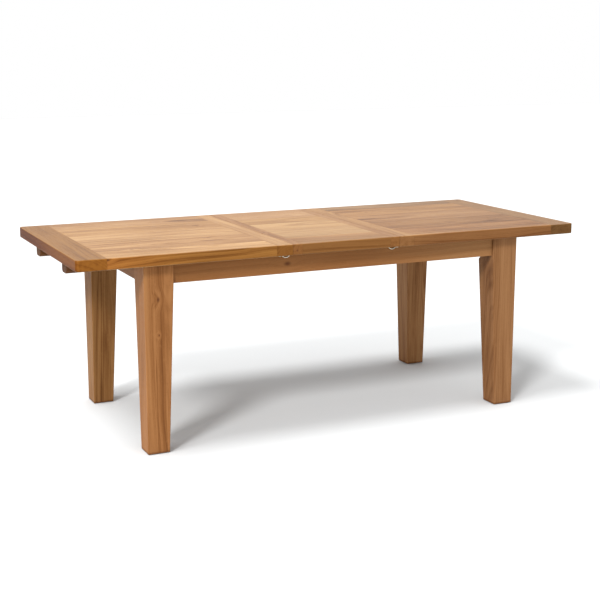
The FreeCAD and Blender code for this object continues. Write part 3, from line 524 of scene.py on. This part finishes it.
def floor_paint():
    """A pale matt floor with a barely visible unevenness."""
    material, tree, shader = start_material("floor_paint")
    point = shade(tree, "TexCoord", {}).outputs["Object"]
    cloud = noise(tree, point, (0.8, 0.8, 0.8), 2.0)
    feed(tree, shader.inputs["Base Color"], mix(tree, cloud, *FLOOR_COLOURS))
    shader.inputs["Roughness"].default_value = 0.85
    return material


# ---------------------------------------------------------------- what each piece is made of

# The colour of the oiled oak on each top board.
TOP_BOARDS = {
    "left_breadboard_end": (123, 85, 43),
    "left_plank_1": (160, 122, 80),
    "left_plank_2": (152, 114, 74),
    "left_plank_3": (154, 117, 77),
    "left_plank_4": (149, 111, 70),
    "left_plank_5": (143, 106, 69),
    "left_cross_band": (147, 110, 71),
    "leaf_band_left": (134, 96, 60),
    "leaf_plank_1": (127, 91, 55),
    "leaf_plank_2": (156, 122, 83),
    "leaf_plank_3": (155, 120, 80),
    "leaf_plank_4": (147, 110, 69),
    "leaf_plank_5": (148, 112, 76),
    "leaf_band_right": (135, 98, 62),
    "right_cross_band": (140, 103, 64),
    "right_plank_1": (124, 86, 50),
    "right_plank_2": (118, 82, 47),
    "right_plank_3": (128, 92, 57),
    "right_plank_4": (131, 94, 56),
    "right_plank_5": (120, 90, 60),
    "right_breadboard_end": (119, 87, 54),
}

# The painted shade of the upright faces, tinted darker than the top because less light falls on them:
# along the front and rear of each part of the top, and at its left end.
LEFT_RIM_SHADE = (0.62, 0.46, 0.24)
LEAF_RIM_SHADE = (0.84, 0.72, 0.55)
RIGHT_RIM_SHADE = (0.83, 0.75, 0.72)
LEFT_END_FACE_SHADE = (0.68, 0.47, 0.20)

# Tints that change along an axis: the axis, where the change starts and ends, and the last tint.
# Painted light: the right half's planks paler toward the middle and darker toward the right end, where
# less light falls.
RIGHT_PLANK_LIGHT_SWEEP = ("X", 0.80, 0.25, (1.14, 1.15, 1.15))
SWEEPS = {
    "leaf_plank_1": ("Y", -0.43, -0.29, (1.28, 1.32, 1.36)),
    "leaf_plank_2": ("Y", -0.12, -0.30, (0.90, 0.89, 0.88)),
}
# Painted highlight: the left rim's painted shade lightens toward the near left corner.
LEFT_RIM_HIGHLIGHT_FADE = ("X", -0.60, -1.0, (0.80, 0.54, 0.26))
# Painted shade on the left end face, changing to a darker tint toward the rear.
LEFT_END_FACE_SHADE_FADE = ("Y", -0.40, 0.25, (0.43, 0.22, 0.02))
# Each part of the top's painted rim shade, and how it changes along the rim.
RIM_SHADES = {"left": (LEFT_RIM_SHADE, LEFT_RIM_HIGHLIGHT_FADE), "leaf": (LEAF_RIM_SHADE, None), "right": (RIGHT_RIM_SHADE, None)}

# The tint of the end grain where a cross board meets the front or rear rim.
BAND_END = (0.92, 0.88, 0.84)
# Painted highlight: the left breadboard end's end grain, lifted well above its painted end-face shade.
LEFT_END_GRAIN_HIGHLIGHT = (1.5, 1.7, 2.3)
# Painted shade: the right breadboard end's end grain, darkened.
RIGHT_END_GRAIN_SHADE = (0.70, 0.70, 0.60)

# The colour of each leg, and how much paler or darker each of its three glued staves is.
LEGS = {
    "leg_front_left": ((141, 95, 56), (0.10, -0.10, -0.02)),
    "leg_front_right": ((128, 89, 56), (-0.12, 0.08, 0.04)),
    "leg_rear_left": ((125, 87, 50), (0.0, -0.06, 0.06)),
    "leg_rear_right": ((137, 96, 60), (0.02, -0.08, 0.08)),
}
APRONS = {"apron_front": "x", "apron_rear": "x", "apron_left": "y", "apron_right": "y"}
APRON_COLOUR = (130, 86, 49)
# Painted light: the aprons' faces paler and greyer toward the right.
APRON_LIGHT_FADE = ("X", 0.0, 0.6, (1.16, 1.33, 1.55))

# The beech pieces under the top: the plain ones by the start of their names, with their grain.
PLAIN_PIECES = {"guide_": "x", "bearer_": "y", "corner_block_": "x"}
BEECH = (132, 102, 72)
# Painted shade: the waxed slide rails' beech, darkened to how it looks in the shade under the top.
WAXED_SHADED_BEECH = (92, 60, 35)

# How strongly the figure shows on each kind of piece.
HALF_TOP_CONTRAST = 1.6
REAR_LEG_CONTRAST = 1.5
APRON_CONTRAST = 0.5
WAXED_CONTRAST = 0.7
PLAIN_CONTRAST = 0.5
WAXED_GLOSS = 0.36
PLAIN_GLOSS = 0.6

# Small knots, one of which also paints the shadow of a catch: a point on the surface and the knot's
# radius.
TOP_Z = CAD_BOX[1][2]
FRONT_Y = CAD_BOX[0][1]
KNOTS_AND_SHADE_SPOTS = {
    "left_plank_1": (((-0.962, FRONT_Y, 0.764), 0.006),),
    "left_plank_2": (((-0.825, -0.298, TOP_Z), 0.006), ((-0.47, -0.16, TOP_Z), 0.005)),
    "left_plank_4": (((-0.40, 0.16, TOP_Z), 0.006),),
    "leaf_band_left": (((-0.219, -0.136, TOP_Z), 0.007), ((-0.216, FRONT_Y, 0.745), 0.005)),
    "right_plank_2": (((0.62, -0.20, TOP_Z), 0.007),),
    "right_plank_4": (((0.44, 0.22, TOP_Z), 0.006),),
    "leg_front_left": (((-0.765, -0.414, 0.595), 0.007), ((-0.764, -0.414, 0.46), 0.003)),
    "leg_rear_left": (((-0.818, 0.34, 0.62), 0.005), ((-0.74, 0.299, 0.60), 0.005)),
    "leg_rear_right": (((0.78, 0.414, 0.40), 0.006),),
    # Painted shadow: this knot on the front apron sits under the left catch and also stands in for the
    # catch's shadow.
    "apron_front": (((-0.236, -0.402, 0.688), 0.010),),
    "apron_rear": (((0.31, 0.402, 0.700), 0.006),),
}


def wear_box():
    """The middle and half size of the whole top, whose rim is handled most."""
    lows, highs = zip(*[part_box(name) for name in TOP_BOARDS])
    low = Vector([min(corner[i] for corner in lows) for i in range(3)])
    high = Vector([max(corner[i] for corner in highs) for i in range(3)])
    return (low + high) / 2, (high - low) / 2


def dress_top():
    """The boards of the top: lengthwise planks, and cross boards with their grain across."""
    wear_and_highlight_box = wear_box()
    for name, colour in TOP_BOARDS.items():
        grain = "x" if "_plank_" in name else "y"
        # Painted shade on each part's upright faces; the left breadboard end gets its own painted end-face
        # shade and end-grain highlight, the right one a painted end-grain shade.
        upright_shade, fade = RIM_SHADES[name.split("_")[0]]
        end = BAND_END
        if name == "left_breadboard_end":
            upright_shade, fade, end = LEFT_END_FACE_SHADE, LEFT_END_FACE_SHADE_FADE, LEFT_END_GRAIN_HIGHLIGHT
        if name == "right_breadboard_end":
            end = RIGHT_END_GRAIN_SHADE
        sweep = RIGHT_PLANK_LIGHT_SWEEP if name.startswith("right_plank") else SWEEPS.get(name)
        contrast = 1.0 if name.startswith("leaf") or grain == "y" else HALF_TOP_CONTRAST
        dress(name, wood("oak", name, grain, paint(*colour), contrast, upright_shade=upright_shade, fade=fade,
                         end=end, knot_and_shade_spots=KNOTS_AND_SHADE_SPOTS.get(name, ()), wear_and_highlight_box=wear_and_highlight_box, sweep=sweep))


def dress_frame():
    """The legs, glued up from three staves each, and the four aprons."""
    for name, (colour, staves) in LEGS.items():
        low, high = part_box(name)
        # Each leg's own box, whose arrises are painted paler: worn, and as a painted highlight.
        wear_and_highlight_box = ((low + high) / 2, (high - low) / 2)
        contrast = REAR_LEG_CONTRAST if "rear" in name else 1.0
        dress(name, wood("oak", name, "z", paint(*colour), contrast, knot_and_shade_spots=KNOTS_AND_SHADE_SPOTS.get(name, ()),
                         staves=staves, wear_and_highlight_box=wear_and_highlight_box, foot_shaded=True))
    for name, grain in APRONS.items():
        dress(name, wood("oak", name, grain, paint(*APRON_COLOUR), APRON_CONTRAST, upright_shade=NO_TINT,
                         fade=APRON_LIGHT_FADE, knot_and_shade_spots=KNOTS_AND_SHADE_SPOTS.get(name, ())))


def dress_hidden_wood():
    """The slide rails, guides, bearers and corner blocks under the top."""
    for name in NODES:
        if name.endswith(("_rail_front", "_rail_rear")):
            # The waxed rails, whose darker beech is a painted shade.
            waxed_shaded = wood("waxed_shaded", name, "x", paint(*WAXED_SHADED_BEECH), WAXED_CONTRAST, WAXED_GLOSS)
            dress(name, waxed_shaded)
        for start, grain in PLAIN_PIECES.items():
            if name.startswith(start) and not name.endswith("_screws"):
                dress(name, wood("plain", name, grain, paint(*BEECH), PLAIN_CONTRAST, PLAIN_GLOSS))


def dress_hardware():
    """Fasteners, catches and glides."""
    zinc = plated_metal("zinc_plate", paint(196, 196, 190), 0.34, 0.4)
    nickel = plated_metal("nickel_plate", paint(218, 208, 190), 0.24, 0.25)
    nylon = moulded_nylon()
    for name, node in NODES.items():
        if name in ("hanger_bolts", "flange_nuts") or name.endswith("_screws"):
            dress(name, zinc)
        if name.startswith("catch_") or name.endswith("_catch_pivots") or name == "leaf_keepers":
            dress(name, nickel)
    dress("foot_glides", nylon)


def dress(name, material):
    """Give a CAD node its material."""
    mesh = NODES[name].data
    mesh.materials.clear()
    mesh.materials.append(material)


make_camera()
make_light()
make_floor()
dress_top()
dress_frame()
dress_hidden_wood()
dress_hardware()
